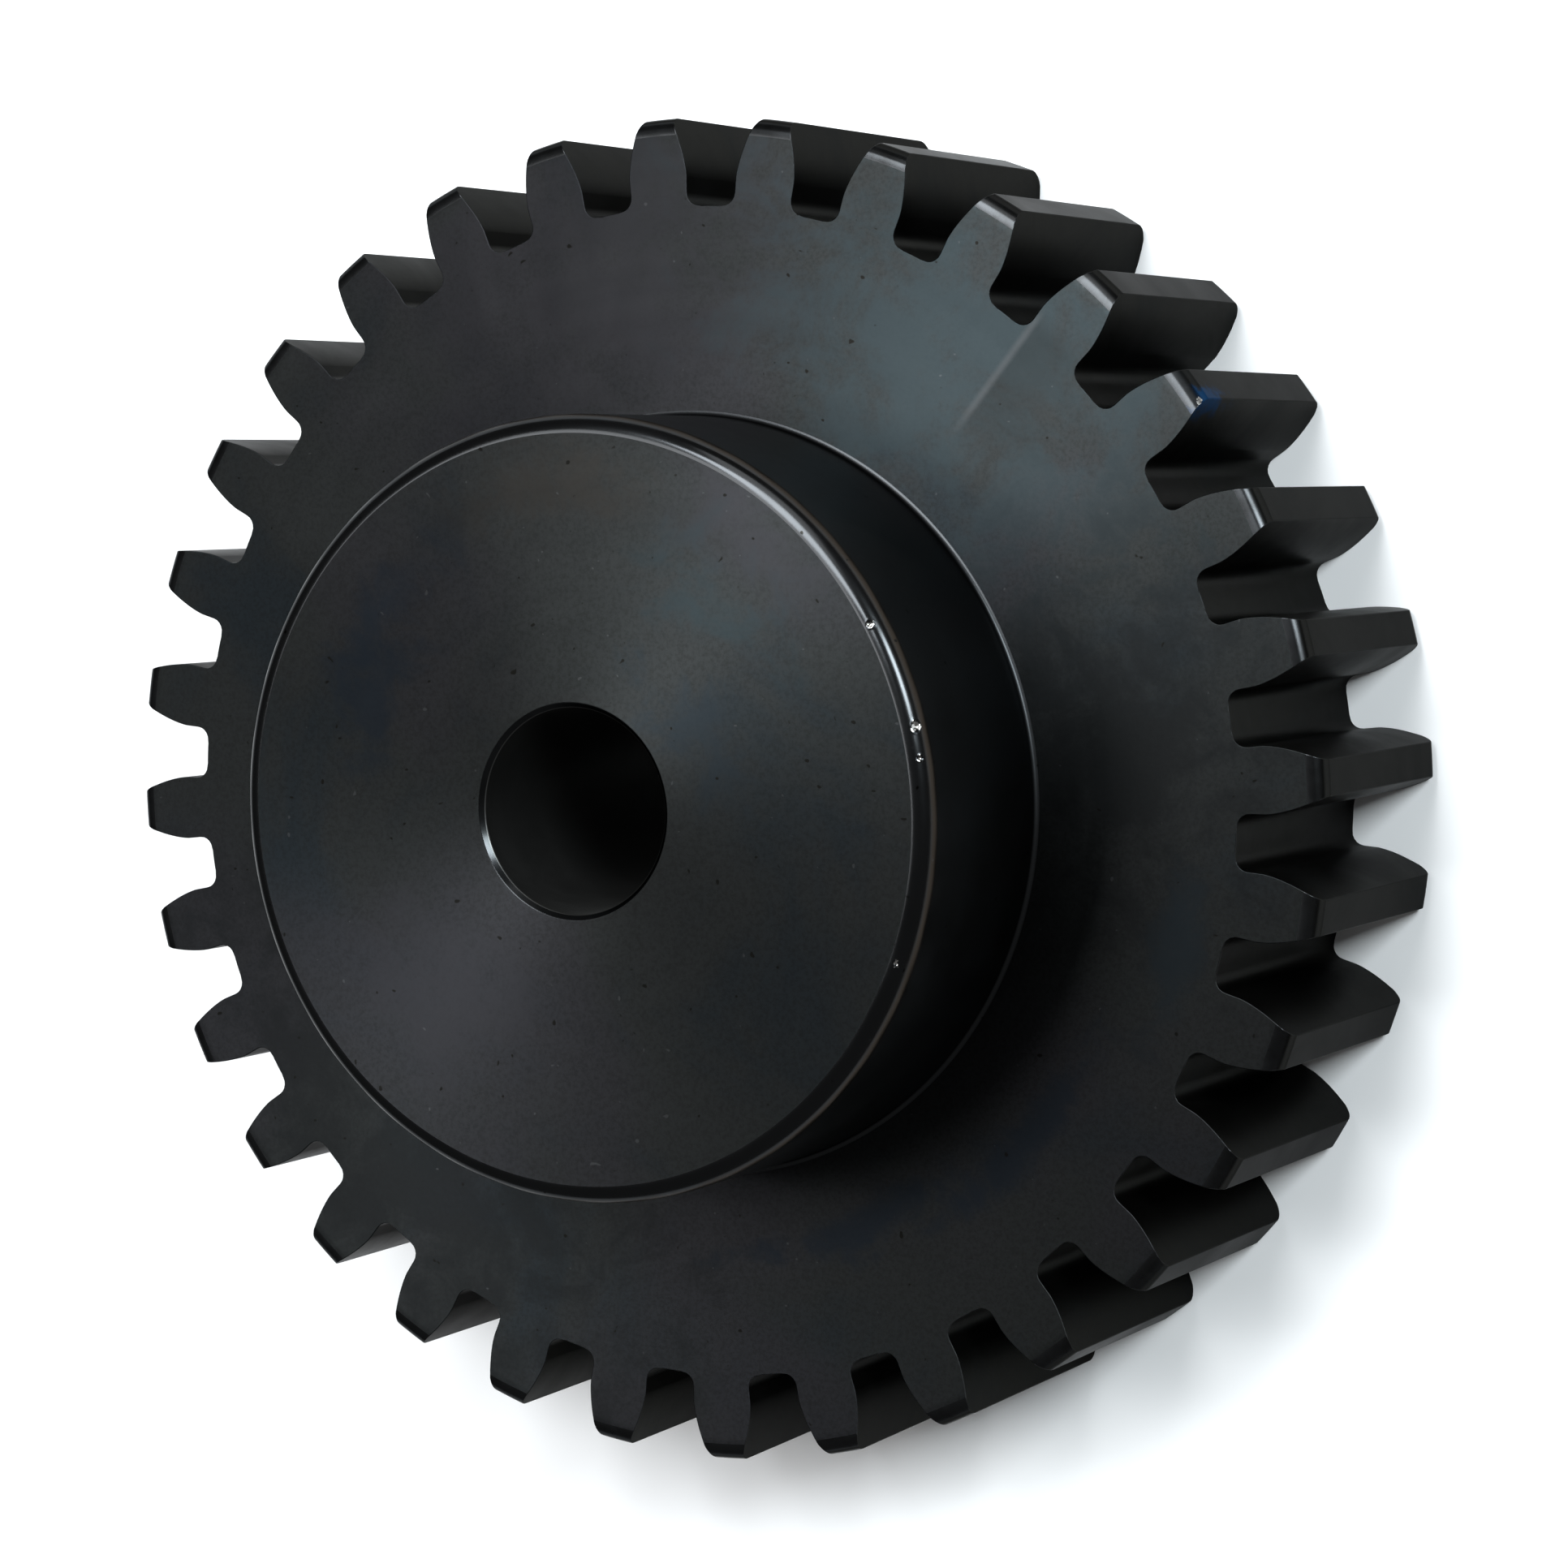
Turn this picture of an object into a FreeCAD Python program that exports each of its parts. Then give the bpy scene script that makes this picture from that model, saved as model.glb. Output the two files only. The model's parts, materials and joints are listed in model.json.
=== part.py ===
import FreeCAD, Part
import Sketcher
import math
import os

# A steel spur gear with a hub on one side, in millimetres.
# It is built up from two pieces: a toothed disc, and a turned hub sleeve that fills the disc's centre hole.
# +Z is the gear's axis, and points out of the hub's free face. The origin is the centre of the back face, on
# which the gear lies flat. A tooth space is centred on +X.

DIMENSIONS = {
    "tooth_count": 32,
    "pressure_angle": 14.5,      # degrees
    "pitch_diameter": 203.2,
    "outside_diameter": 215.9,
    "dedendum": 7.75,            # from the pitch circle to the root circle
    "tooth_thickness": 9.68,     # along the pitch circle: half the pitch, less the backlash
    "root_fillet": 2.2,          # radius between a flank and the root circle
    "face_width": 50.8,
    "disc_corner": 2.85,         # radius on the disc's outer corners, turned before the teeth were cut
    "hub_diameter": 121.2,
    "hub_projection": 37.4,      # how far the hub stands out of the web
    "hub_corner": 2.9,           # radius on the hub's free corner
    "hub_fillet": 0.8,           # radius where the hub meets the web
    "fillet_lip": 0.05,          # height of the fillet's outer edge above the web
    "bore_diameter": 31.75,
    "bore_chamfer": 0.8,
}

FLANK_POINTS = 9        # points on the involute that a flank's spline runs through
CUT_CLEARANCE = 3.0     # how far the cut for a tooth space reaches past the tips
VOLUME_TOLERANCE = 1.0  # cubic millimetres
EDGE_TOLERANCE = 1e-6

doc = FreeCAD.newDocument("spur_gear")


def make_sheet():
    """The spreadsheet of driving dimensions, one row and one alias for each."""
    sheet = doc.addObject("Spreadsheet::Sheet", "Dims")
    for row, (name, size) in enumerate(DIMENSIONS.items(), start=1):
        sheet.set(f"A{row}", name)
        sheet.set(f"B{row}", str(size))
        sheet.setAlias(f"B{row}", name)
    doc.recompute()
    return sheet


def length(**factors):
    """A length as (value, expression): each named dimension times its factor, added up."""
    value = sum(factor * dims.get(name) for name, factor in factors.items())
    expression = " + ".join(f"{factor} * Dims.{name}" for name, factor in factors.items())
    return value, expression


def make_sketch(body, name, plane_role):
    """A sketch on one of the body's own origin planes."""
    sketch = body.newObject("Sketcher::SketchObject", name)
    plane = next(item for item in body.Origin.OriginFeatures if item.Role == plane_role)
    sketch.AttachmentSupport = [(plane, "")]
    sketch.MapMode = "FlatFace"
    return sketch


def add_sides(sketch, sides):
    """Add the sides of a closed outline, each beginning where the last one ends, and join their ends."""
    sketch.addGeometry(sides)
    for side in range(len(sides)):
        following = (side + 1) % len(sides)
        gaps = [
            (sketch.getPoint(side, here).distanceToPoint(sketch.getPoint(following, there)), here, there)
            for here in (1, 2)
            for there in (1, 2)
        ]
        _, here, there = min(gaps)
        sketch.addConstraint(Sketcher.Constraint("Coincident", side, here, following, there))


def hold(sketch, kind, places, size):
    """Constrain places of a sketch, with the size bound to the sheet."""
    value, expression = size
    index = sketch.addConstraint(Sketcher.Constraint(kind, *places, value))
    sketch.setExpression(f"Constraints[{index}]", expression)


def hold_corner(sketch, side, corner):
    """Hold the end of a side that lies at a corner, given as an (x, y) pair of lengths."""
    point = FreeCAD.Vector(corner[0][0], corner[1][0], 0)
    end = min((1, 2), key=lambda each: sketch.getPoint(side, each).distanceToPoint(point))
    hold(sketch, "DistanceX", (-1, 1, side, end), corner[0])
    hold(sketch, "DistanceY", (-1, 1, side, end), corner[1])


def turned_profile(body, name, corners, arcs):
    """A closed half section on the XZ plane, through corners given as (radius, height) pairs of lengths.

    arcs maps a side's number, counted from the corner where it starts, to the (radius, height) of a quarter
    circle's centre and its radius.
    """
    sketch = make_sketch(body, name, "XZ_Plane")
    points = [FreeCAD.Vector(radius[0], height[0], 0) for radius, height in corners]
    sides = []
    for number, start in enumerate(points):
        end = points[(number + 1) % len(points)]
        if number in arcs:
            centre_radius, centre_height, arc_radius = arcs[number]
            centre = FreeCAD.Vector(centre_radius[0], centre_height[0], 0)
            outwards = ((start + end) / 2 - centre).normalize()
            sides.append(Part.Arc(start, centre + outwards * arc_radius[0], end))
        else:
            sides.append(Part.LineSegment(start, end))
    add_sides(sketch, sides)
    for number, corner in enumerate(corners):
        hold_corner(sketch, number, corner)
    for number, (_, _, arc_radius) in arcs.items():
        hold(sketch, "Radius", (number,), arc_radius)
    return sketch


def revolve(body, name, profile):
    """Turn a half section once round the Z axis."""
    solid = body.newObject("PartDesign::Revolution", name)
    solid.Profile = profile
    solid.ReferenceAxis = (profile, ["V_Axis"])
    solid.Angle = 360
    doc.recompute()
    return solid


def circles_of(feature, radius):
    """The names of a feature's round edges of one radius."""
    return [
        f"Edge{number}"
        for number, edge in enumerate(feature.Shape.Edges, start=1)
        if isinstance(edge.Curve, Part.Circle) and abs(edge.Curve.Radius - radius) < EDGE_TOLERANCE
    ]


def dress(body, kind, name, base, edges, size_property, size):
    """Round or bevel edges of a base feature by a size from the sheet."""
    feature = body.newObject(f"PartDesign::{kind}", name)
    feature.Base = (base, edges)
    feature.setExpression(size_property, size[1])
    doc.recompute()
    if base.Shape.Volume - feature.Shape.Volume < VOLUME_TOLERANCE:
        raise RuntimeError(f"{name} took nothing off {base.Name}")
    return feature


def polar(radius, angle):
    """The sketch point at a radius and an angle from +X."""
    return FreeCAD.Vector(radius * math.cos(angle), radius * math.sin(angle), 0)


def mirrored(point):
    """The same point on the other side of the X axis."""
    return FreeCAD.Vector(point.x, -point.y, 0)


def involute_flank(base_radius, base_angle, end_radius):
    """Points along an involute of the base circle, from the angle where it starts out to a radius."""
    end_roll = math.sqrt((end_radius / base_radius) ** 2 - 1)
    points = []
    for step in range(FLANK_POINTS):
        roll = end_roll * step / (FLANK_POINTS - 1)
        points.append(polar(base_radius * math.hypot(1, roll), base_angle + roll - math.atan(roll)))
    return points


def tooth_space_sides():
    """The outline of one tooth space about the X axis: flanks, root fillets and root circle.

    Each flank is an involute down to the base circle, then a radial line, because the root circle lies inside
    the base circle.
    """
    pitch_radius = dims.pitch_diameter / 2
    root_radius = pitch_radius - dims.dedendum
    pressure = math.radians(dims.pressure_angle)
    base_radius = pitch_radius * math.cos(pressure)
    half_tooth = dims.tooth_thickness / dims.pitch_diameter + math.tan(pressure) - pressure
    flank_angle = math.pi / dims.tooth_count - half_tooth

    flank = involute_flank(base_radius, flank_angle, dims.outside_diameter / 2 + CUT_CLEARANCE)
    centre_radius = root_radius + dims.root_fillet
    centre_angle = flank_angle - math.asin(dims.root_fillet / centre_radius)
    fillet_centre = polar(centre_radius, centre_angle)
    fillet_top = polar(math.sqrt(centre_radius ** 2 - dims.root_fillet ** 2), flank_angle)
    fillet_foot = polar(root_radius, centre_angle)
    outwards = ((fillet_top + fillet_foot) / 2 - fillet_centre).normalize()
    fillet_middle = fillet_centre + outwards * dims.root_fillet

    upper = Part.BSplineCurve()
    upper.interpolate(flank)
    lower = Part.BSplineCurve()
    lower.interpolate([mirrored(point) for point in flank])
    return [
        upper,
        Part.LineSegment(flank[0], fillet_top),
        Part.Arc(fillet_top, fillet_middle, fillet_foot),
        Part.Arc(fillet_foot, FreeCAD.Vector(root_radius, 0, 0), mirrored(fillet_foot)),
        Part.Arc(mirrored(fillet_foot), mirrored(fillet_middle), mirrored(fillet_top)),
        Part.LineSegment(mirrored(fillet_top), mirrored(flank[0])),
        lower,
        Part.LineSegment(mirrored(flank[-1]), flank[-1]),
    ]


def make_toothed_disc():
    """The disc, turned with rounded outer corners, then cut round its rim into teeth."""
    body = doc.addObject("PartDesign::Body", "toothed_disc")
    inner = length(hub_diameter=0.5)
    outer = length(outside_diameter=0.5)
    back = length(face_width=0)
    web = length(face_width=1)
    corners = [(inner, back), (outer, back), (outer, web), (inner, web)]
    blank = revolve(body, "disc_blank", turned_profile(body, "disc_section", corners, {}))
    rims = circles_of(blank, outer[0])
    rounded = dress(body, "Fillet", "disc_corners", blank, rims, "Radius", length(disc_corner=1))

    sketch = make_sketch(body, "tooth_space_outline", "XY_Plane")
    sides = tooth_space_sides()
    add_sides(sketch, sides)
    upper_flank, upper_fillet, root, lower_fillet, lower_flank = 0, 2, 3, 4, 6
    for flank in (upper_flank, lower_flank):
        sketch.addConstraint(Sketcher.Constraint("Block", flank))
    hold(sketch, "Radius", (root,), length(pitch_diameter=0.5, dedendum=-1))
    for fillet in (upper_fillet, lower_fillet):
        hold(sketch, "Radius", (fillet,), length(root_fillet=1))

    space = body.newObject("PartDesign::Pocket", "tooth_space")
    space.Profile = sketch
    space.Type = "ThroughAll"
    space.Reversed = True
    doc.recompute()
    one_space = rounded.Shape.Volume - space.Shape.Volume

    spaces = body.newObject("PartDesign::PolarPattern", "tooth_spaces")
    spaces.Originals = [space]
    spaces.Axis = (sketch, ["N_Axis"])
    spaces.Angle = 360
    spaces.setExpression("Occurrences", "Dims.tooth_count")
    body.Tip = spaces
    doc.recompute()
    all_spaces = rounded.Shape.Volume - spaces.Shape.Volume
    if one_space < VOLUME_TOLERANCE or round(all_spaces / one_space, 1) != dims.tooth_count:
        raise RuntimeError("the tooth spaces took off the wrong volume")
    return body


def make_hub():
    """The turned sleeve: plain bore, rounded free corner, and a small fillet that seats on the web."""
    body = doc.addObject("PartDesign::Body", "hub")
    bore = length(bore_diameter=0.5)
    side = length(hub_diameter=0.5)
    fillet_foot = length(hub_diameter=0.5, hub_fillet=1)
    back = length(face_width=0)
    web = length(face_width=1)
    lip = length(face_width=1, fillet_lip=1)
    fillet_top = length(face_width=1, fillet_lip=1, hub_fillet=1)
    free_face = length(face_width=1, hub_projection=1)
    corners = [
        (bore, back),
        (side, back),
        (side, web),
        (fillet_foot, web),
        (fillet_foot, lip),
        (side, fillet_top),
        (side, free_face),
        (bore, free_face),
    ]
    fillet_side = 4
    arcs = {fillet_side: (fillet_foot, fillet_top, length(hub_fillet=1))}
    sleeve = revolve(body, "sleeve", turned_profile(body, "sleeve_section", corners, arcs))

    outer_circles = circles_of(sleeve, side[0])
    free_corner = max(outer_circles, key=lambda name: sleeve.Shape.getElement(name).CenterOfMass.z)
    rounded = dress(body, "Fillet", "free_corner", sleeve, [free_corner], "Radius", length(hub_corner=1))
    bore_ends = circles_of(rounded, bore[0])
    dress(body, "Chamfer", "bore_chamfers", rounded, bore_ends, "Size", length(bore_chamfer=1))
    return body


dims = make_sheet()
sub_parts = [make_toothed_disc(), make_hub()]
doc.recompute()

for item in doc.Objects:
    if "Invalid" in item.State or "Error" in item.State:
        raise RuntimeError(f"{item.Label} failed: {item.State}")
for part in sub_parts:
    if part.Shape.isNull() or not part.Shape.isValid() or len(part.Shape.Solids) != 1:
        raise RuntimeError(f"{part.Label} isn't one valid solid")

os.makedirs("parts", exist_ok=True)
for part in sub_parts:
    part.Shape.exportStep(f"parts/{part.Label}.step")
    box = part.Shape.optimalBoundingBox()
    heights = f"z {box.ZMin:.2f} to {box.ZMax:.2f}"
    print(f"{part.Label}: {part.Shape.Volume:.0f} mm3, {heights}, {box.XLength:.2f} wide")
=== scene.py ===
import json
import math

import bmesh
import bpy
from mathutils import Matrix, Vector, noise


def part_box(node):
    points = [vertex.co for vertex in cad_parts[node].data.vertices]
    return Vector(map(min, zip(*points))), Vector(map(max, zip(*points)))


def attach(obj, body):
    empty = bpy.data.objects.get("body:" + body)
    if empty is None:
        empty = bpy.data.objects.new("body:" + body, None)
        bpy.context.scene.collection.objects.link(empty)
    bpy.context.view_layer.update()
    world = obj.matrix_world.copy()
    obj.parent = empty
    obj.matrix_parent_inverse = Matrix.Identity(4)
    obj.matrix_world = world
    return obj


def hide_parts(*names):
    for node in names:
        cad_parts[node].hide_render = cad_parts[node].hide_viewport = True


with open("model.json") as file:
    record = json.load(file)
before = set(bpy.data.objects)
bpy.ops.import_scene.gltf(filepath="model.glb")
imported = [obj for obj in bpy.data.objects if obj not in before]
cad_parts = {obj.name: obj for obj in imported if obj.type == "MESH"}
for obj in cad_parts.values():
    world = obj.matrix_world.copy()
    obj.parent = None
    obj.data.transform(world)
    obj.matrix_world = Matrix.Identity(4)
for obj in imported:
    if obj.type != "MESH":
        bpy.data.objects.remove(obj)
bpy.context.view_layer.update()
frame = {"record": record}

MM = 0.001

# ---------------------------------------------------------------- sizes

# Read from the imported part.
mounts = {mount["name"]: mount for mount in frame["record"]["mounts"]}
FACE_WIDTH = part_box("toothed_disc")[1].z
HALF_FACE = FACE_WIDTH / 2
HUB_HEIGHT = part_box("hub")[1].z
PITCH_RADIUS = mounts["teeth"]["dims"]["pcd_mm"] / 2 * MM
TOOTH_COUNT = mounts["teeth"]["dims"]["count"]
BORE_RADIUS = mounts["bore"]["dims"]["r_mm"] * MM

# The rest of the gear's own dimensions, as the part has them.
PRESSURE_ANGLE = math.radians(14.5)
OUTER_RADIUS = 107.95 * MM
ROOT_RADIUS = PITCH_RADIUS - 7.75 * MM
TOOTH_THICKNESS = 9.68 * MM
ROOT_FILLET = 2.2 * MM
DISC_CORNER = 2.85 * MM
HUB_RADIUS = 60.6 * MM
HUB_CORNER = 2.9 * MM
HUB_FILLET = 0.8 * MM
FILLET_LIP = 0.05 * MM
BORE_CHAMFER = 0.8 * MM

EDGE_BREAK = 0.14 * MM      # how far a deburring brush has taken an edge off
EDGE_ROOM = 1.15            # a face this many times wider than the bevel has room for it
SHARP = math.radians(30)    # edges that turn by more than this get the bevel
SAME_POINT = 0.0001 * MM    # vertices closer than this are joined

# ---------------------------------------------------------------- camera

# The gear is seen from above and to one side, with the camera turned on its side.
CAMERA_AZIMUTH = math.radians(101.453)
CAMERA_ELEVATION = math.radians(62.057)
CAMERA_ROLL = math.radians(98.092)
CAMERA_DISTANCE = 0.690081
CAMERA_AIM = Vector((0.016915, 0.003028, FACE_WIDTH))
CAMERA_LENS = 99.95         # in mm, like the sensor's width
CAMERA_SENSOR = 36


def add_camera():
    """The camera, aimed at a point on the web's plane, and rolled about its own axis."""
    back = Vector((
        math.sin(CAMERA_AZIMUTH) * math.cos(CAMERA_ELEVATION),
        -math.cos(CAMERA_AZIMUTH) * math.cos(CAMERA_ELEVATION),
        math.sin(CAMERA_ELEVATION),
    ))
    level_right = Vector((0, 0, 1)).cross(back).normalized()
    level_up = back.cross(level_right)
    up = level_up * math.cos(CAMERA_ROLL) + level_right * math.sin(CAMERA_ROLL)
    right = up.cross(back)
    data = bpy.data.cameras.new("camera")
    data.lens = CAMERA_LENS
    data.sensor_width = CAMERA_SENSOR
    camera = bpy.data.objects.new("camera", data)
    bpy.context.scene.collection.objects.link(camera)
    turn = Matrix((right, up, back)).transposed().to_4x4()
    camera.matrix_world = Matrix.Translation(CAMERA_AIM + back * CAMERA_DISTANCE) @ turn
    bpy.context.scene.camera = camera


# ---------------------------------------------------------------- meshes

def polar(radius, angle, height):
    return Vector((radius * math.cos(angle), radius * math.sin(angle), height))


def steps(count):
    """Even fractions from 0 to 1, both included."""
    return [step / count for step in range(count + 1)]


def quarter(centre, radius, start, count):
    """Points on a quarter circle of a half section, anticlockwise from a start angle in degrees."""
    angles = [math.radians(start + 90 * share) for share in steps(count)]
    return [(centre[0] + radius * math.cos(a), centre[1] + radius * math.sin(a)) for a in angles]


def between(start, end, count):
    """Points along a straight line of a half section, both ends included."""
    return [tuple(s + (e - s) * share for s, e in zip(start, end)) for share in steps(count)]


# Nicks in the hub's rounded corner: angle in degrees, distance below the hub's face, size.
HUB_NICKS = (
    (16.5, 0.9 * MM, 1.6 * MM),
    (32.5, 0.2 * MM, 1.1 * MM),
    (12.0, 0.7 * MM, 0.9 * MM),
    (-18.0, 0.2 * MM, 0.9 * MM),
)
NICK_DEPTH = 0.22                       # as a share of its size
NICK_RAGGED = 0.35                      # how uneven its outline is, as a share of its radius
NICK_GRAIN = 0.5 * MM                   # the size of that unevenness
NICK_BURR = 0.05 * MM                   # metal pushed up round it
NICK_BURR_REACH = 0.4                   # how far beyond its outline, as a share of its radius
TIP_NICK_ANGLE = math.radians(38)       # a nick in one tooth, with a blue stain beside it
TIP_NICK_TILT = math.radians(45)        # it is halfway round the rounded corner
TIP_NICK_SIZE = 1.3 * MM


def hub_nick_places():
    """Each nick on the hub's corner, as its middle, its size and the way out of the metal there."""
    places = []
    for degrees, below, size in HUB_NICKS:
        tilt = math.acos(1 - below / HUB_CORNER)
        outwards = polar(math.sin(tilt), math.radians(degrees), math.cos(tilt))
        centre = polar(HUB_RADIUS - HUB_CORNER, math.radians(degrees), HUB_HEIGHT - HUB_CORNER)
        places.append((centre + outwards * HUB_CORNER, size, outwards))
    return places


def tip_nick_places():
    """The nick at the front end of one tooth's edge, in the same way."""
    outwards = polar(math.sin(TIP_NICK_TILT), TIP_NICK_ANGLE, math.cos(TIP_NICK_TILT))
    centre = polar(OUTER_RADIUS - DISC_CORNER, TIP_NICK_ANGLE, FACE_WIDTH - DISC_CORNER)
    return [(centre + outwards * DISC_CORNER, TIP_NICK_SIZE, outwards)]


def nicked(point, places):
    """Move a surface point where a nick is: in at its middle, and slightly out round its edge."""
    burr_end = 1 + NICK_BURR_REACH
    for middle, size, outwards in places:
        ragged = NICK_RAGGED * noise.noise(point / NICK_GRAIN)
        far = (point - middle).length / (size / 2) + ragged
        if far < 1:
            return point - outwards * size * NICK_DEPTH * (1 - far)
        if far < burr_end:
            return point + outwards * NICK_BURR * (burr_end - far) / NICK_BURR_REACH
    return point


def add_grid(bm, rows, closed, material):
    """Join rows of vertices with quads. closed also joins each row's end to its start."""
    for lower, upper in zip(rows, rows[1:]):
        columns = len(lower) if closed else len(lower) - 1
        for column in range(columns):
            following = (column + 1) % len(lower)
            face = bm.faces.new((lower[column], lower[following], upper[following], upper[column]))
            face.material_index = material
            face.smooth = True


def has_room(edge):
    """Whether the faces at an edge are wide enough for the bevel."""
    least_area = EDGE_ROOM * EDGE_BREAK * edge.calc_length()
    return all(face.calc_area() > least_area for face in edge.link_faces)


def finish_mesh(bm, name, materials):
    """Make bm an object, with doubled vertices joined, every face turned outwards and its edges broken."""
    bmesh.ops.remove_doubles(bm, verts=bm.verts, dist=SAME_POINT)
    bmesh.ops.recalc_face_normals(bm, faces=bm.faces)
    weights = bm.edges.layers.float.new("bevel_weight_edge")
    for edge in bm.edges:
        edge.smooth = edge.calc_face_angle(0) < SHARP
        edge[weights] = 0.0 if edge.smooth or not has_room(edge) else 1.0
    mesh = bpy.data.meshes.new(name)
    bm.to_mesh(mesh)
    bm.free()
    for material in materials:
        mesh.materials.append(material)
    piece = bpy.data.objects.new(name, mesh)
    bpy.context.scene.collection.objects.link(piece)
    bevel = piece.modifiers.new("edge_break", "BEVEL")
    bevel.width = EDGE_BREAK
    bevel.segments = 2
    bevel.limit_method = "WEIGHT"
    bevel.harden_normals = True
    weighted = piece.modifiers.new("weighted_normals", "WEIGHTED_NORMAL")
    weighted.keep_sharp = True
    return piece


HUB_FACE, HUB_SIDE, HUB_BORE = range(3)     # the hub's materials, in their order
HUB_COLUMNS = 480
NICK_COLUMNS = 12                           # across a nick


def hub_section():
    """The hub's half section as (points, material) stretches, anticlockwise from the back chamfer."""
    bore_foot = (BORE_RADIUS, BORE_CHAMFER)
    bore_top = (BORE_RADIUS, HUB_HEIGHT - BORE_CHAMFER)
    chamfer_foot = (BORE_RADIUS + BORE_CHAMFER, 0)
    chamfer_top = (BORE_RADIUS + BORE_CHAMFER, HUB_HEIGHT)
    seat = (HUB_RADIUS, FACE_WIDTH)
    foot = (HUB_RADIUS + HUB_FILLET, FACE_WIDTH)
    lip = (HUB_RADIUS + HUB_FILLET, FACE_WIDTH + FILLET_LIP)
    fillet_centre = (HUB_RADIUS + HUB_FILLET, FACE_WIDTH + FILLET_LIP + HUB_FILLET)
    corner_centre = (HUB_RADIUS - HUB_CORNER, HUB_HEIGHT - HUB_CORNER)
    fillet = quarter(fillet_centre, HUB_FILLET, 180, 6)[::-1]
    corner = quarter(corner_centre, HUB_CORNER, 0, 24)
    return [
        (between(chamfer_foot, (HUB_RADIUS, 0), 6), HUB_FACE),
        (between((HUB_RADIUS, 0), seat, 4), HUB_SIDE),
        (between(seat, foot, 1), HUB_SIDE),
        (between(foot, lip, 1), HUB_SIDE),
        (fillet, HUB_SIDE),
        (between(fillet[-1], corner[0], 8), HUB_SIDE),
        (corner, HUB_SIDE),
        (between(corner[-1], chamfer_top, 10), HUB_FACE),
        (between(chamfer_top, bore_top, 1), HUB_BORE),
        (between(bore_top, bore_foot, 12), HUB_BORE),
        (between(bore_foot, chamfer_foot, 1), HUB_BORE),
    ]


def hub_angles():
    """The hub's columns: even all round, but closer together at each nick."""
    angles = [2 * math.pi * column / HUB_COLUMNS for column in range(HUB_COLUMNS)]
    for degrees, _, size in HUB_NICKS:
        middle = math.radians(degrees)
        reach = size / HUB_RADIUS
        angles = [a for a in angles if abs(math.remainder(a - middle, 2 * math.pi)) > reach]
        across = [middle + reach * (2 * share - 1) for share in steps(NICK_COLUMNS)]
        angles += [angle % (2 * math.pi) for angle in across]
    return sorted(angles)


def make_hub(materials):
    """The hub, turned from its half section, with the nicks in its corner."""
    bm = bmesh.new()
    angles = hub_angles()
    nicks = hub_nick_places()
    for points, material in hub_section():
        rows = [
            [bm.verts.new(nicked(polar(radius, angle, height), nicks)) for angle in angles]
            for radius, height in points
        ]
        add_grid(bm, rows, True, material)
    return finish_mesh(bm, "hub_turned", materials)


DISC_FACE, TOOTH_FLANK, TOOTH_TIP = range(3)    # the disc's materials, in their order
ROOT_STEPS = 2      # columns of the mesh on half a root land
FILLET_STEPS = 5    # on a root fillet
FLANK_STEPS = 12    # on an involute flank
TIP_STEPS = 4       # across a tooth
CORNER_STEPS = 9    # parts of the disc's rounded corner, the first two of them joined
SIDE_STEPS = 8      # rows between the corners
WEB_STEPS = 8       # rings between the hub and the root circle


def half_space(tip_radius):
    """Half a tooth space as (radius, angle) from its middle: root land, root fillet, and flank."""
    base_radius = PITCH_RADIUS * math.cos(PRESSURE_ANGLE)
    involute = math.tan(PRESSURE_ANGLE) - PRESSURE_ANGLE
    half_tooth = TOOTH_THICKNESS / 2 / PITCH_RADIUS + involute
    flank_angle = math.pi / TOOTH_COUNT - half_tooth
    centre_radius = ROOT_RADIUS + ROOT_FILLET
    centre_angle = flank_angle - math.asin(ROOT_FILLET / centre_radius)
    centre = polar(centre_radius, centre_angle, 0)

    points = [(ROOT_RADIUS, centre_angle * share) for share in steps(ROOT_STEPS)]
    start = centre_angle + math.pi
    turn = flank_angle - centre_angle - math.pi / 2
    for share in steps(FILLET_STEPS)[1:]:
        point = centre + polar(ROOT_FILLET, start + turn * share, 0)
        points.append((point.xy.length, math.atan2(point.y, point.x)))
    end_roll = math.sqrt((tip_radius / base_radius) ** 2 - 1)
    for share in steps(FLANK_STEPS):
        roll = end_roll * share
        points.append((base_radius * math.hypot(1, roll), flank_angle + roll - math.atan(roll)))
    return points


def disc_levels():
    """The rows of the rim, from the back face to the web, as (height, outer radius there)."""
    corner = quarter((OUTER_RADIUS - DISC_CORNER, DISC_CORNER), DISC_CORNER, 270, CORNER_STEPS)
    del corner[1]       # leaves room for the bevel beside the flat face
    back = [(height, radius) for radius, height in corner]
    web = [(FACE_WIDTH - height, radius) for height, radius in reversed(back)]
    middle = [(height, OUTER_RADIUS) for height, _ in between(back[-1], web[0], SIDE_STEPS)][1:-1]
    return back + middle + web


def rim_row(tip_radius):
    """All the teeth's outline at one height, as (radius, angle), from the middle of a tooth space round."""
    pitch = 2 * math.pi / TOOTH_COUNT
    half = half_space(tip_radius)
    end = half[-1][1]
    tip = [(tip_radius, end + (pitch - 2 * end) * share) for share in steps(TIP_STEPS)][1:-1]
    far_half = [(radius, pitch - angle) for radius, angle in reversed(half)]
    one_pitch = (half + tip + far_half)[:-1]
    return [
        (radius, angle + pitch * tooth)
        for tooth in range(TOOTH_COUNT)
        for radius, angle in one_pitch
    ]


def rim_material(column):
    """Which finish the rim has right after a column: the tips differ from the flanks and roots."""
    flank_end = ROOT_STEPS + FILLET_STEPS + FLANK_STEPS + 1
    per_pitch = 2 * flank_end + TIP_STEPS
    return TOOTH_TIP if flank_end <= column % per_pitch < flank_end + TIP_STEPS else TOOTH_FLANK


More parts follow.
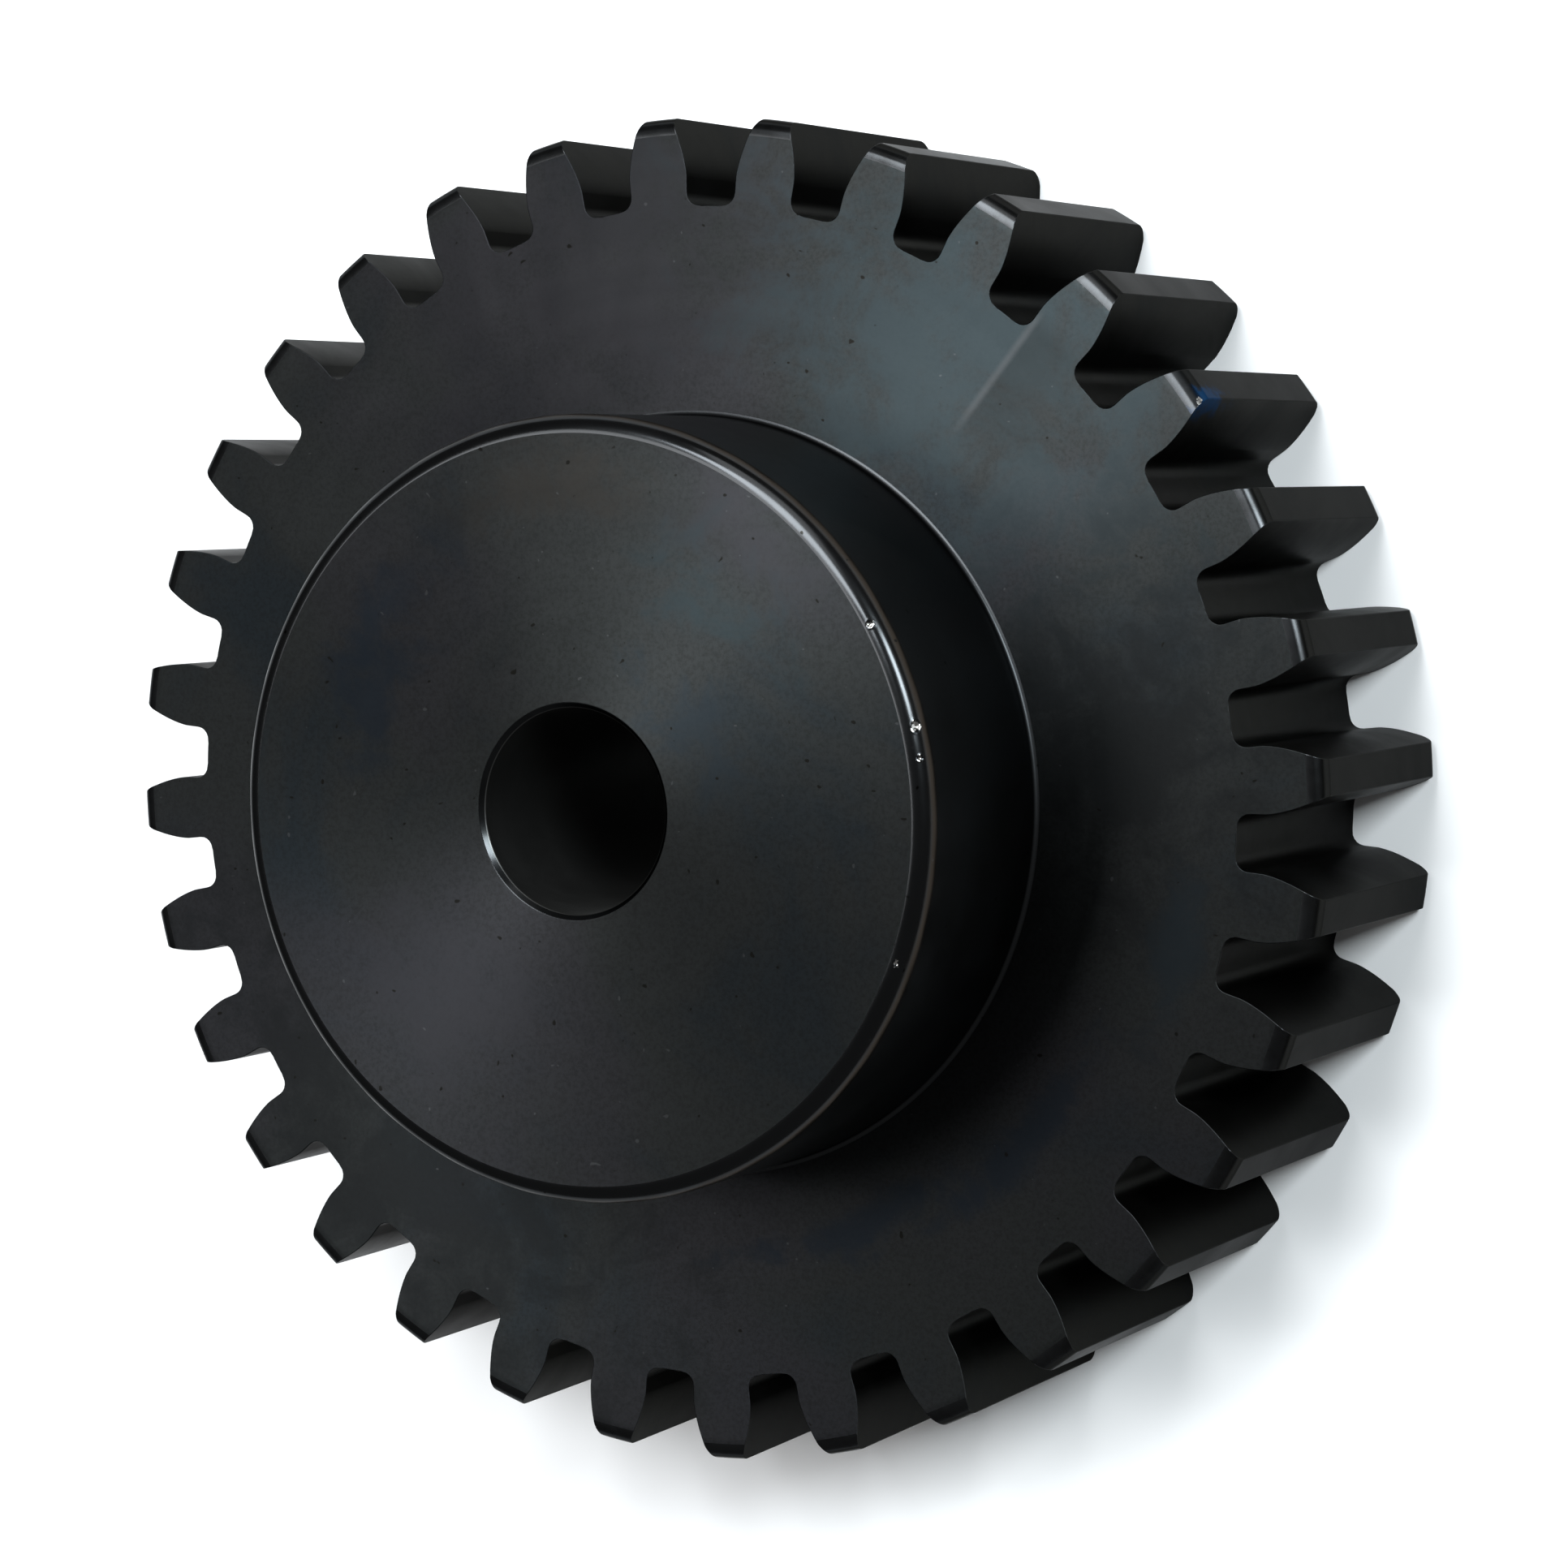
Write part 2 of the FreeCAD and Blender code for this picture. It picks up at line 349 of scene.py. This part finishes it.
def add_rim(bm):
    """The teeth's flanks, roots and tips, over the whole width of the disc."""
    nicks = tip_nick_places()
    rows = []
    for height, tip_radius in disc_levels():
        points = [polar(radius, angle, height) for radius, angle in rim_row(tip_radius)]
        rows.append([bm.verts.new(nicked(point, nicks)) for point in points])
    add_grid(bm, rows, True, TOOTH_FLANK)
    per_row = len(rows[0])
    bm.faces.ensure_lookup_table()
    for number, face in enumerate(bm.faces):
        face.material_index = rim_material(number % per_row)


def add_disc_face(bm, height):
    """A flat face of the disc: rings out to the root circle, then one patch across each tooth.

    Returns the angles of its columns.
    """
    pitch = 2 * math.pi / TOOTH_COUNT
    half = half_space(OUTER_RADIUS - DISC_CORNER)
    tooth_side = half[ROOT_STEPS:]
    foot = tooth_side[0][1]
    across = [foot + (pitch - 2 * foot) * share for share in steps(TIP_STEPS)]
    root = [foot * share for share in steps(ROOT_STEPS)]
    one_pitch = root[:-1] + across + [pitch - angle for angle in reversed(root)][1:-1]
    angles = [angle + pitch * tooth for tooth in range(TOOTH_COUNT) for angle in one_pitch]
    rings = [HUB_RADIUS + (ROOT_RADIUS - HUB_RADIUS) * share for share in steps(WEB_STEPS)]
    rows = [[bm.verts.new(polar(radius, angle, height)) for angle in angles] for radius in rings]
    add_grid(bm, rows, True, DISC_FACE)
    for tooth in range(TOOTH_COUNT):
        rows = []
        for radius, angle in tooth_side:
            width = pitch - 2 * angle
            turns = [pitch * tooth + angle + width * share for share in steps(TIP_STEPS)]
            rows.append([bm.verts.new(polar(radius, turn, height)) for turn in turns])
        add_grid(bm, rows, False, DISC_FACE)
    return angles


def make_toothed_disc(materials):
    """The toothed disc: its rim, its two faces, and the hole that the hub fills."""
    bm = bmesh.new()
    add_rim(bm)
    angles = add_disc_face(bm, 0)
    add_disc_face(bm, FACE_WIDTH)
    rows = [
        [bm.verts.new(polar(HUB_RADIUS, angle, height)) for angle in angles]
        for height in (0, FACE_WIDTH)
    ]
    add_grid(bm, rows, True, DISC_FACE)
    return finish_mesh(bm, "toothed_disc_cut", materials)


# ---------------------------------------------------------------- materials

class Tree:
    """A material's node tree, with short calls for the nodes that the finishes are made of."""

    def __init__(self, name):
        self.material = bpy.data.materials.new(name)
        self.material.use_nodes = True
        self.nodes = self.material.node_tree.nodes
        self.links = self.material.node_tree.links
        self.shader = self.nodes["Principled BSDF"]
        self.where = self.nodes.new("ShaderNodeTexCoord").outputs["Object"]
        split = self.nodes.new("ShaderNodeSeparateXYZ")
        self.links.new(self.where, split.inputs[0])
        self.x, self.y, self.z = split.outputs
        self.radius = self.length(self.vector(self.x, self.y, 0))
        self.angle = self.math("ARCTAN2", self.y, self.x)

    def put(self, value, socket):
        """Set an input, or link it when the value is another node's output."""
        if isinstance(value, bpy.types.NodeSocket):
            self.links.new(value, socket)
        else:
            socket.default_value = value

    def vector(self, *parts):
        node = self.nodes.new("ShaderNodeCombineXYZ")
        for part, socket in zip(parts, node.inputs):
            self.put(part, socket)
        return node.outputs[0]

    def vector_math(self, operation, *vectors):
        """A vector calculation's node, whose output is read by name."""
        node = self.nodes.new("ShaderNodeVectorMath")
        node.operation = operation
        for vector, socket in zip(vectors, node.inputs):
            self.put(vector, socket)
        return node.outputs

    def length(self, vector):
        return self.vector_math("LENGTH", vector)["Value"]

    def distance(self, point):
        """How far the surface is from a point."""
        return self.vector_math("DISTANCE", self.where, point)["Value"]

    def math(self, operation, *values):
        node = self.nodes.new("ShaderNodeMath")
        node.operation = operation
        for value, socket in zip(values, node.inputs):
            self.put(value, socket)
        return node.outputs[0]

    def noise(self, vector, scale, detail=2.0, roughness=0.5, distortion=0.0):
        node = self.nodes.new("ShaderNodeTexNoise")
        self.put(vector, node.inputs["Vector"])
        node.inputs["Scale"].default_value = scale
        node.inputs["Detail"].default_value = detail
        node.inputs["Roughness"].default_value = roughness
        node.inputs["Distortion"].default_value = distortion
        return node.outputs[0]

    def ramp(self, value, low, high, out_low=0.0, out_high=1.0):
        """Map a value smoothly from low..high to out_low..out_high, and hold it there beyond them."""
        node = self.nodes.new("ShaderNodeMapRange")
        node.interpolation_type = "SMOOTHSTEP"
        for part, socket in zip((value, low, high, out_low, out_high), node.inputs):
            self.put(part, socket)
        return node.outputs[0]

    def mix(self, share, first, second):
        """A colour between two others."""
        node = self.nodes.new("ShaderNodeMix")
        node.data_type = "RGBA"
        self.put(share, node.inputs[0])
        for colour, socket in ((first, node.inputs[6]), (second, node.inputs[7])):
            self.put(colour if isinstance(colour, bpy.types.NodeSocket) else (*colour, 1), socket)
        return node.outputs[2]

    def bump(self, height, distance):
        node = self.nodes.new("ShaderNodeBump")
        node.inputs["Distance"].default_value = distance
        self.put(height, node.inputs["Height"])
        return node.outputs[0]

    def turned_tangent(self):
        """Reflections stretch across the turning marks, which run round the axis."""
        node = self.nodes.new("ShaderNodeTangent")
        node.direction_type = "RADIAL"
        node.axis = "Z"
        self.links.new(node.outputs[0], self.shader.inputs["Tangent"])

    def finish(self, colour, rough, height, depth):
        """Give the shader its colour, its roughness and its fine relief, and return the material."""
        self.put(colour, self.shader.inputs["Base Color"])
        self.put(rough, self.shader.inputs["Roughness"])
        self.put(self.bump(height, depth), self.shader.inputs["Normal"])
        return self.material


# The metal's base colours: the oxide and its tints, then steel that shows through it.
OXIDE = (0.0188, 0.0206, 0.0208)
OXIDE_TEAL = (0.0150, 0.0212, 0.0235)
# a teal tint of the oxide, made brighter as well: a painted highlight where the lights' reflection on the
# web is strongest
TEAL_AND_PAINTED_HIGHLIGHT = (0.0180, 0.0250, 0.0278)
OXIDE_BLUE = (0.0140, 0.0185, 0.0220)
OXIDE_LAVENDER = (0.0205, 0.0208, 0.0232)
OXIDE_BROWN = (0.0200, 0.0192, 0.0176)
OXIDE_COPPER = (0.0240, 0.0188, 0.0145)
OXIDE_DEEP_BLUE = (0.0110, 0.0148, 0.0198)
# painted shade: a darker oxide colour laid on the web where the lights' reflection is weak
PAINTED_WEB_SHADE = (0.0105, 0.0115, 0.0120)
OXIDE_TIP = (0.0085, 0.0081, 0.0073)
OXIDE_FLANK = (0.0150, 0.0142, 0.0124)
BLUE_STAIN = (0.006, 0.022, 0.055)
SHADOWED = (0.0080, 0.0079, 0.0073)
# worn steel, and also the colour of the painted highlight line on the web
WORN_AND_GLINT = (0.048, 0.050, 0.052)
RUBBED = (0.030, 0.0315, 0.033)
# painted light: a paler colour that stands in for light reaching into the bore
PAINTED_BORE_LIGHT = (0.15, 0.15, 0.145)
BARE = (0.50, 0.49, 0.47)

# Where the oxide is tinted, and where painted shade darkens the web: radius, angle in degrees, how far it
# reaches along each, and the colour.
WEB_TINTS_AND_SHADE = (
    (86 * MM, 100, 26 * MM, 24, OXIDE_LAVENDER),
    # teal tint with a painted highlight, at the strongest reflection on the web
    (86 * MM, 58, 30 * MM, 26, TEAL_AND_PAINTED_HIGHLIGHT),
    # the next two patches are painted shade, darkening the web in two sectors where the lights' reflection
    # is weak
    (84 * MM, -130, 34 * MM, 40, PAINTED_WEB_SHADE),
    (74 * MM, 8, 26 * MM, 24, PAINTED_WEB_SHADE),
    (74 * MM, -60, 3.5 * MM, 19, OXIDE_DEEP_BLUE),
    (79 * MM, -40, 3.5 * MM, 19, OXIDE_DEEP_BLUE),
    (87 * MM, -10, 5 * MM, 9, OXIDE_BLUE),
)
HUB_TINTS = (
    (50 * MM, 96, 7 * MM, 18, OXIDE_BROWN),
    (52 * MM, 55, 12 * MM, 15, OXIDE_LAVENDER),
    (39 * MM, 54, 10 * MM, 20, OXIDE_TEAL),
    (26 * MM, 35, 10 * MM, 28, OXIDE_BLUE),
    (37 * MM, -123, 14 * MM, 26, OXIDE_LAVENDER),
    (46 * MM, 142, 5 * MM, 18, OXIDE_DEEP_BLUE),
    (39 * MM, 156, 6 * MM, 16, OXIDE_DEEP_BLUE),
)

# A painted highlight that runs outwards on the web, standing for a glint of the lights in its turning
# rings, with a sector of painted shade beside it.
GLINT_ANGLE = math.radians(53.4)
GLINT_START, GLINT_END = 72 * MM, 99 * MM
GLINT_FADE_IN, GLINT_FADE_OUT = 9 * MM, 4 * MM
GLINT_WIDTH = 1.0 * MM
GLINT_SHADE_EDGE = math.radians(0.5)         # how softly the sector of painted shade begins
GLINT_SHADE_SECTOR = math.radians(14)        # how far it reaches

# The stain beside the nicked tooth: full inside the first distance, and gone beyond the second.
STAIN_INNER, STAIN_OUTER = 1.2 * MM, 3.4 * MM
STAIN_RAGGED = 1 * MM
STAIN_PULL = (1, 1, 0.3)                # drawn out along the tooth


def add_tints_and_shade(tree, colour, tints_and_shade):
    """Mix a listed colour into the surface in places with soft, uneven outlines: tints of the oxide, and on
    the web also painted shade.
    """
    edge = tree.ramp(tree.noise(tree.where, 75, 6, 0.72, 0.4), 0.28, 0.72, -0.75, 0.75)
    for radius, degrees, reach, reach_degrees, tint in tints_and_shade:
        out = tree.math("DIVIDE", tree.math("SUBTRACT", tree.radius, radius), reach)
        turn = tree.math("SUBTRACT", tree.angle, math.radians(degrees))
        along = tree.math("DIVIDE", turn, math.radians(reach_degrees))
        far = tree.math("ADD", tree.length(tree.vector(out, along, 0)), edge)
        colour = tree.mix(tree.ramp(far, 0.0, 1.3, 0.75, 0.0), colour, tint)
    return colour


def oxide(tree, patch_scale, offset):
    """The black oxide's colour, with blue and lavender clouds and a fine mottle, and its blue clouds."""
    place = tree.vector_math("ADD", tree.where, offset)["Vector"]
    clouds = tree.noise(place, patch_scale, 7, 0.62, 0.6)
    other = tree.noise(place, patch_scale * 0.6, 3, 0.5, 0.3)
    colour = tree.mix(tree.ramp(clouds, 0.50, 0.68, 0.0, 0.8), OXIDE, OXIDE_BLUE)
    colour = tree.mix(tree.ramp(other, 0.50, 0.36, 0.0, 0.8), colour, OXIDE_LAVENDER)
    mottle = tree.noise(tree.where, 1500, 4, 0.8)
    return tree.mix(tree.ramp(mottle, 0.40, 0.66, 0.0, 0.4), colour, SHADOWED), clouds


def fine_marks(tree, across, along, pitch, reach):
    """Fine grooves: noise that changes quickly across the marks and slowly along them."""
    over = tree.math("DIVIDE", across, pitch)
    on = tree.math("MULTIPLY", along, reach)
    return tree.noise(tree.vector(over, on, 0), 1, 3, 0.6)


def specks(tree, colour):
    """Sparse small pits that stay dark, and faint pale ones where the oxide is thin."""
    dark = tree.noise(tree.where, 800, 0, 0.5)
    pale = tree.noise(tree.where, 900, 0, 0.5)
    colour = tree.mix(tree.ramp(dark, 0.84, 0.88), colour, SHADOWED)
    return tree.mix(tree.ramp(pale, 0.85, 0.89, 0.0, 0.5), colour, WORN_AND_GLINT)


def steel(name, anisotropic, grazing=0.55):
    """Blackened steel, whose oxide holds the grazing reflection down to a share."""
    tree = Tree(name)
    tree.shader.inputs["Metallic"].default_value = 1
    tree.shader.inputs["Specular Tint"].default_value = (grazing, grazing, grazing, 1)
    tree.shader.inputs["Anisotropic"].default_value = anisotropic
    tree.shader.inputs["Anisotropic Rotation"].default_value = 0.25
    tree.turned_tangent()
    return tree


def face_finish(name, offset, tints_and_shade, painted_glint):
    """A faced surface: turning rings round the axis."""
    tree = steel(name, 0.68)
    colour, clouds = oxide(tree, 22, offset)
    colour = add_tints_and_shade(tree, colour, tints_and_shade)
    # on the web: a painted highlight line, with painted shade beside it
    if painted_glint:
        colour = add_painted_glint(tree, colour)
    rings = fine_marks(tree, tree.radius, tree.angle, 0.5 * MM, 3)
    broad = fine_marks(tree, tree.radius, tree.angle, 4 * MM, 0.4)
    rough = tree.ramp(clouds, 0.3, 0.7, 0.36, 0.46)
    rough = tree.math("ADD", rough, tree.ramp(broad, 0.3, 0.7, -0.012, 0.012))
    return tree.finish(specks(tree, colour), rough, rings, 0.004 * MM)


def add_painted_glint(tree, colour):
    """The painted glint on the web: a soft pale line outwards that paints a highlight, and a slightly
    darker sector of painted shade on one side of it.
    """
    turn = tree.math("SUBTRACT", tree.angle, GLINT_ANGLE)
    aside = tree.math("ABSOLUTE", tree.math("MULTIPLY", turn, tree.radius))
    start = tree.ramp(tree.radius, GLINT_START, GLINT_START + GLINT_FADE_IN)
    end = tree.ramp(tree.radius, GLINT_END - GLINT_FADE_OUT, GLINT_END, 1.0, 0.0)
    length = tree.math("MULTIPLY", start, end)
    line = tree.math("MULTIPLY", tree.ramp(aside, 0.0, GLINT_WIDTH, 0.36, 0.0), length)
    after = tree.ramp(turn, -GLINT_SHADE_SECTOR, -GLINT_SHADE_EDGE, 0.0, 1.0)
    before = tree.ramp(turn, -GLINT_SHADE_EDGE, GLINT_SHADE_EDGE, 1.0, 0.0)
    shade = tree.math("MULTIPLY", tree.math("MULTIPLY", after, before), 0.35)
    # painted shade: the sector beside the line is mixed darker
    colour = tree.mix(tree.math("MULTIPLY", shade, length), colour, SHADOWED)
    # painted highlight: the line is mixed towards pale steel
    return tree.mix(line, colour, WORN_AND_GLINT)


def uneven(tree, share, low):
    """Break a wear mask up, so that it comes and goes along an edge."""
    come_and_go = tree.ramp(tree.noise(tree.where, 160, 4, 0.65), 0.36, 0.58, low, 1.0)
    return tree.math("MULTIPLY", share, come_and_go)


def smoothed(tree, clouds, low, high, worn, gain):
    """A roughness that follows the oxide's clouds from low to high, and is less where the metal is worn."""
    rough = tree.ramp(clouds, 0.3, 0.7, low, high)
    return tree.math("SUBTRACT", rough, tree.math("MULTIPLY", worn, gain))


def bare_in_nicks(tree, colour, places):
    """Bare metal in the middle of each nick, with a ragged outline."""
    ragged = tree.ramp(tree.noise(tree.where, 1800, 3, 0.7), 0.3, 0.7, -0.35 * MM, 0.45 * MM)
    for middle, size, _ in places:
        far = tree.math("ADD", tree.distance(middle), ragged)
        colour = tree.mix(tree.ramp(far, size * 0.50, size * 0.30), colour, BARE)
    return colour


def hub_side_finish():
    """The hub's turned side, with a copper band and rubbed metal at its corner and a rubbed fillet."""
    tree = steel("hub_side_finish", 0.25)
    colour, clouds = oxide(tree, 30, (0.7, 0.2, 0.4))
    below = tree.math("SUBTRACT", HUB_HEIGHT, tree.z)
    colour = tree.mix(0.4, colour, WORN_AND_GLINT)
    corner = tree.ramp(below, 2.0 * MM, 1.0 * MM)
    band_top = tree.ramp(below, 0.7 * MM, 1.3 * MM)
    band_foot = tree.ramp(below, 2.4 * MM, 3.4 * MM, 1.0, 0.0)
    band = tree.math("MULTIPLY", band_top, band_foot)
    colour = tree.mix(tree.math("MULTIPLY", band, 0.9), colour, OXIDE_COPPER)
    colour = tree.mix(uneven(tree, corner, 0.6), colour, RUBBED)
    fillet = uneven(tree, tree.ramp(tree.z, FACE_WIDTH + 1.1 * MM, FACE_WIDTH + 0.5 * MM), 0.5)
    colour = tree.mix(fillet, colour, RUBBED)
    colour = bare_in_nicks(tree, specks(tree, colour), hub_nick_places())
    rough = smoothed(tree, clouds, 0.28, 0.36, corner, 0.13)
    rings = fine_marks(tree, tree.z, tree.angle, 0.4 * MM, 3)
    return tree.finish(colour, rough, rings, 0.002 * MM)


def bore_finish():
    """The bore, its colour painted paler than the rest as a stand-in for light reaching into it, with its
    rubbed chamfers.
    """
    tree = steel("bore_finish", 0.2, 0.35)
    colour, clouds = oxide(tree, 30, (0.1, 0.8, 0.3))
    chamfer = tree.ramp(tree.radius, BORE_RADIUS + 0.05 * MM, BORE_RADIUS + 0.2 * MM)
    worn = tree.mix(uneven(tree, 0.8, 0.4), OXIDE, RUBBED)
    # painted light: most of the bore is mixed towards the pale colour
    colour = tree.mix(chamfer, tree.mix(0.7, colour, PAINTED_BORE_LIGHT), worn)
    rough = smoothed(tree, clouds, 0.38, 0.44, chamfer, 0.2)
    rings = fine_marks(tree, tree.z, tree.angle, 0.4 * MM, 3)
    return tree.finish(colour, rough, rings, 0.003 * MM)


def blue_stain(tree, colour):
    """The blue stain beside the nicked tooth tip, drawn out towards the back face."""
    middle = tip_nick_places()[0][0]
    apart = tree.vector_math("SUBTRACT", tree.where, middle)["Vector"]
    pulled = tree.vector_math("MULTIPLY", apart, STAIN_PULL)["Vector"]
    ragged = tree.ramp(tree.noise(tree.where, 500), 0.3, 0.7, -STAIN_RAGGED, STAIN_RAGGED)
    far = tree.math("ADD", tree.length(pulled), ragged)
    return tree.mix(tree.ramp(far, STAIN_OUTER, STAIN_INNER), colour, BLUE_STAIN)


def off_middle(tree):
    """How far the surface is from the middle of the disc's width."""
    return tree.math("ABSOLUTE", tree.math("SUBTRACT", tree.z, HALF_FACE))


def tip_finish():
    """The turned outside of the teeth, rubbed smooth on the rounded corners."""
    tree = steel("tooth_tip_finish", 0.25, 0.48)
    colour, clouds = oxide(tree, 30, (0.3, 0.6, 0.2))
    colour = tree.mix(0.8, colour, OXIDE_TIP)
    colour = blue_stain(tree, colour)
    off = off_middle(tree)
    corner = tree.ramp(off, HALF_FACE - 3.2 * MM, HALF_FACE - 2.2 * MM)
    pale = tree.ramp(off, HALF_FACE - 1.2 * MM, HALF_FACE - 0.6 * MM)
    colour = tree.mix(uneven(tree, pale, 0.6), colour, RUBBED)
    colour = bare_in_nicks(tree, colour, tip_nick_places())
    rough = smoothed(tree, clouds, 0.32, 0.42, corner, 0.12)
    rings = fine_marks(tree, tree.z, tree.angle, 0.4 * MM, 3)
    return tree.finish(colour, rough, rings, 0.003 * MM)


def flank_finish():
    """A hobbed flank: faint feed marks along the tooth, and a rubbed edge at the faces."""
    tree = steel("tooth_flank_finish", 0.0, 0.48)
    colour, clouds = oxide(tree, 40, (0.3, 0.1, 0))
    colour = tree.mix(0.4, colour, SHADOWED)
    colour = tree.mix(0.5, colour, OXIDE_FLANK)
    colour = blue_stain(tree, colour)
    edge = tree.ramp(off_middle(tree), HALF_FACE - 0.25 * MM, HALF_FACE, 0.0, 0.35)
    colour = tree.mix(uneven(tree, edge, 0.2), colour, WORN_AND_GLINT)
    rough = tree.ramp(clouds, 0.3, 0.7, 0.34, 0.46)
    marks = fine_marks(tree, tree.radius, tree.z, 0.35 * MM, 30)
    return tree.finish(colour, rough, marks, 0.003 * MM)


# ---------------------------------------------------------------- surroundings

FLOOR_HALF = 3              # half the floor's side
FLOOR_PAINT = (0.95, 0.95, 0.95, 1)
SKY_STRENGTH = 0.16
WHITE = (1, 1, 1)

# The soft square lights: name, direction, distance, side, radiance and colour.
LIGHTS = (
    ("key", (-0.10, 0.42, 0.90), 1.5, 0.65, 17.5, (0.96, 1, 1.03)),
    ("back", (0.07, 0.76, 0.64), 1.5, 0.7, 2.5, WHITE),
    ("window", (0.67, 0.42, 0.62), 1.5, 0.42, 34.0, (0.88, 0.96, 1)),
    ("fill", (-0.42, 0.10, 0.90), 1.6, 0.6, 6.0, WHITE),
)


def add_floor():
    """A plain pale floor, which isn't part of the object."""
    bm = bmesh.new()
    bmesh.ops.create_grid(bm, x_segments=1, y_segments=1, size=FLOOR_HALF)
    mesh = bpy.data.meshes.new("floor")
    bm.to_mesh(mesh)
    bm.free()
    material = bpy.data.materials.new("floor_paint")
    material.use_nodes = True
    shader = material.node_tree.nodes["Principled BSDF"]
    shader.inputs["Base Color"].default_value = FLOOR_PAINT
    shader.inputs["Roughness"].default_value = 0.9
    shader.inputs["Specular IOR Level"].default_value = 0
    mesh.materials.append(material)
    floor = bpy.data.objects.new("floor", mesh)
    bpy.context.scene.collection.objects.link(floor)


def add_softbox(name, direction, distance, side, radiance, colour):
    """A square light of one brightness, facing the gear's middle from a direction."""
    data = bpy.data.lights.new(name, "AREA")
    data.shape = "RECTANGLE"
    data.size = side
    data.size_y = side
    data.energy = radiance * math.pi * side * side
    data.color = colour
    light = bpy.data.objects.new(name, data)
    bpy.context.scene.collection.objects.link(light)
    towards = Vector(direction).normalized()
    light.location = Vector((0, 0, FACE_WIDTH)) + towards * distance
    light.rotation_mode = "QUATERNION"
    light.rotation_quaternion = towards.to_track_quat("Z", "Y")


def add_light():
    """An even, dim studio all round, and the soft lights."""
    world = bpy.data.worlds.new("studio")
    bpy.context.scene.world = world
    world.use_nodes = True
    background = world.node_tree.nodes["Background"]
    background.inputs["Color"].default_value = (*WHITE, 1)
    background.inputs["Strength"].default_value = SKY_STRENGTH
    for light in LIGHTS:
        add_softbox(*light)
    bpy.context.scene.view_settings.view_transform = "Standard"


# ---------------------------------------------------------------- the scene

add_camera()
add_floor()
add_light()

hub = make_hub([
    face_finish("hub_face_finish", (0.2, 0.5, 0.1), HUB_TINTS, False),
    hub_side_finish(),
    bore_finish(),
])
disc = make_toothed_disc([
    # the web's finish carries the painted highlight line and its painted shade
    face_finish("disc_face_finish", (0.5, 0.4, 0.9), WEB_TINTS_AND_SHADE, True),
    flank_finish(),
    tip_finish(),
])
for piece, node, slot in ((hub, "hub", "hub_steel"), (disc, "toothed_disc", "disc_steel")):
    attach(piece, "root")
    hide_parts(node)
